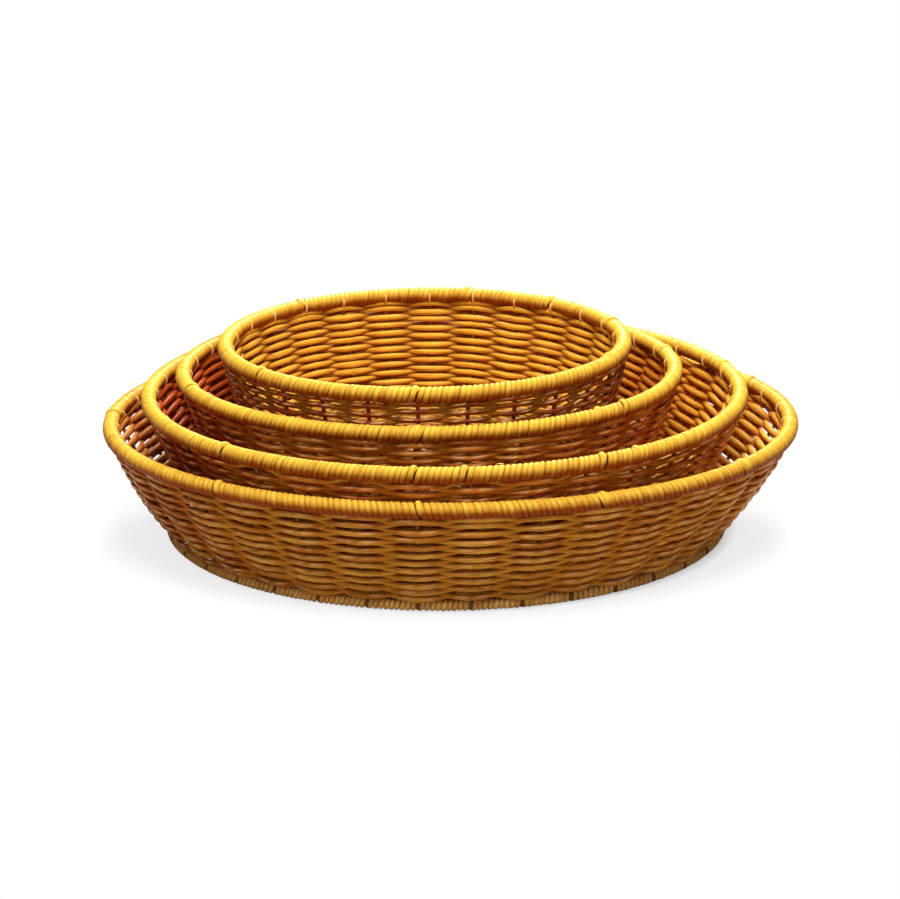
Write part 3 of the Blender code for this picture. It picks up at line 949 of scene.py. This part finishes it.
def floor_material():
    """Pale and matt by the object, where it takes its shadow, and plain white further off.

    Rays other than the camera's and those through glass see a dimmer floor, so that it adds
    little light from below.
    """
    material = bpy.data.materials.new("floor_look")
    nodes, links = new_tree(material)
    nodes.clear()
    output = new_node(nodes, "ShaderNodeOutputMaterial")
    pale = new_node(nodes, "ShaderNodeBsdfDiffuse", {"Color": FLOOR_COLOUR})
    dim = new_node(nodes, "ShaderNodeBsdfDiffuse", {"Color": FLOOR_UNSEEN_COLOUR})
    white = new_node(nodes, "ShaderNodeEmission", {"Color": WHITE})
    seen = new_node(nodes, "ShaderNodeMixShader")
    links.new(distance_fade(nodes, links), seen.inputs["Fac"])
    links.new(pale.outputs[0], seen.inputs[1])
    links.new(white.outputs[0], seen.inputs[2])
    mix = new_node(nodes, "ShaderNodeMixShader")
    links.new(seen_directly(nodes, links), mix.inputs["Fac"])
    links.new(dim.outputs[0], mix.inputs[1])
    links.new(seen.outputs[0], mix.inputs[2])
    links.new(mix.outputs[0], output.inputs["Surface"])
    return material


def distance_fade(nodes, links):
    """0 under the object and 1 away from it, by an oval distance on the floor."""
    stretch = (1 / SHADOW_HALF_LENGTH, 1 / SHADOW_HALF_WIDTH, 1.0)
    oval = new_node(nodes, "ShaderNodeVectorMath", {1: stretch}, operation="MULTIPLY")
    links.new(new_node(nodes, "ShaderNodeTexCoord").outputs["Object"], oval.inputs[0])
    away = new_node(nodes, "ShaderNodeVectorMath", operation="LENGTH")
    links.new(oval.outputs[0], away.inputs[0])
    scaled = new_node(nodes, "ShaderNodeMath", {1: SHADOW_SPAN}, operation="DIVIDE")
    links.new(away.outputs["Value"], scaled.inputs[0])
    fade = new_node(nodes, "ShaderNodeValToRGB")
    first, last = fade.color_ramp.elements
    first.position = SHADOW_END
    first.color = BLACK
    last.position = FADE_END
    last.color = WHITE
    fade.color_ramp.elements.new(FADE_KNEE).color = FADE_KNEE_COLOUR
    links.new(scaled.outputs[0], fade.inputs["Fac"])
    return fade.outputs["Color"]


def seen_directly(nodes, links):
    """1 for a ray from the camera or through glass."""
    path = new_node(nodes, "ShaderNodeLightPath")
    either = new_node(nodes, "ShaderNodeMath", operation="MAXIMUM")
    links.new(path.outputs["Is Camera Ray"], either.inputs[0])
    links.new(path.outputs["Is Transmission Ray"], either.inputs[1])
    return either.outputs[0]


def make_world():
    """White behind the object, and a dim even light on it."""
    world = bpy.data.worlds.new("studio")
    nodes, links = new_tree(world)
    nodes.clear()
    output = new_node(nodes, "ShaderNodeOutputWorld")
    dim = new_node(nodes, "ShaderNodeBackground", {"Color": WORLD_COLOUR, "Strength": WORLD_STRENGTH})
    white = new_node(nodes, "ShaderNodeBackground", {"Color": WHITE})
    mix = new_node(nodes, "ShaderNodeMixShader")
    path = new_node(nodes, "ShaderNodeLightPath")
    links.new(path.outputs["Is Camera Ray"], mix.inputs["Fac"])
    links.new(dim.outputs[0], mix.inputs[1])
    links.new(white.outputs[0], mix.inputs[2])
    links.new(mix.outputs[0], output.inputs["Surface"])
    bpy.context.scene.world = world


def add_lamp(name, place, size, power):
    """A square soft lamp that faces the object."""
    light = bpy.data.lights.new(name, "AREA")
    light.size = size
    light.energy = power
    lamp = bpy.data.objects.new(name, light)
    lamp.location = place
    lamp.rotation_euler = (Vector(place) - TARGET).to_track_quat("Z", "Y").to_euler()
    bpy.context.scene.collection.objects.link(lamp)


def make_camera():
    level = Vector((math.sin(YAW), math.cos(YAW), 0))
    ahead = level * math.cos(ELEVATION) - Vector((0, 0, math.sin(ELEVATION)))
    right = Vector((math.cos(YAW), -math.sin(YAW), 0))
    up = right.cross(ahead)
    rolled_right = right * math.cos(ROLL) + up * math.sin(ROLL)
    rolled_up = up * math.cos(ROLL) - right * math.sin(ROLL)
    turn = Matrix((rolled_right, rolled_up, -ahead)).transposed()
    data = bpy.data.cameras.new("camera")
    data.sensor_width = SENSOR
    data.sensor_fit = "HORIZONTAL"
    data.lens = LENS
    data.clip_start = CLIP_START
    camera = bpy.data.objects.new("camera", data)
    camera.matrix_world = Matrix.Translation(TARGET - ahead * DISTANCE) @ turn.to_4x4()
    bpy.context.scene.collection.objects.link(camera)
    bpy.context.scene.camera = camera


def dress(basket, looks):
    """Every visible piece of one basket. The hoop keeps its packed form."""
    rng = np.random.default_rng(FIRST_SEED + basket.index)
    columns = rng.normal(size=basket.stakes + 1) * COLUMN_STRAY
    columns[-1] = columns[0]
    for letter in "ab":
        weave_wall(basket, letter, rng, columns, looks[basket.index])
    wind_rim(basket, rng, looks["rim_strand"])
    wind_foot(basket, rng, looks["foot_strand"])
    foot_core(basket, looks["stake"])
    stake_frame(basket, looks["stake"])
    weave_base(basket, rng, looks["base_strand"])
    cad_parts[f"{basket.name}_rim_hoop"].data.materials[0] = looks["stake"]


def main():
    bpy.context.scene.view_settings.view_transform = "Standard"
    make_camera()
    make_world()
    make_stage()
    for lamp in LAMPS:
        add_lamp(*lamp)
    looks = make_materials()
    for index in range(len(NAMES)):
        dress(Basket(index), looks)


main()
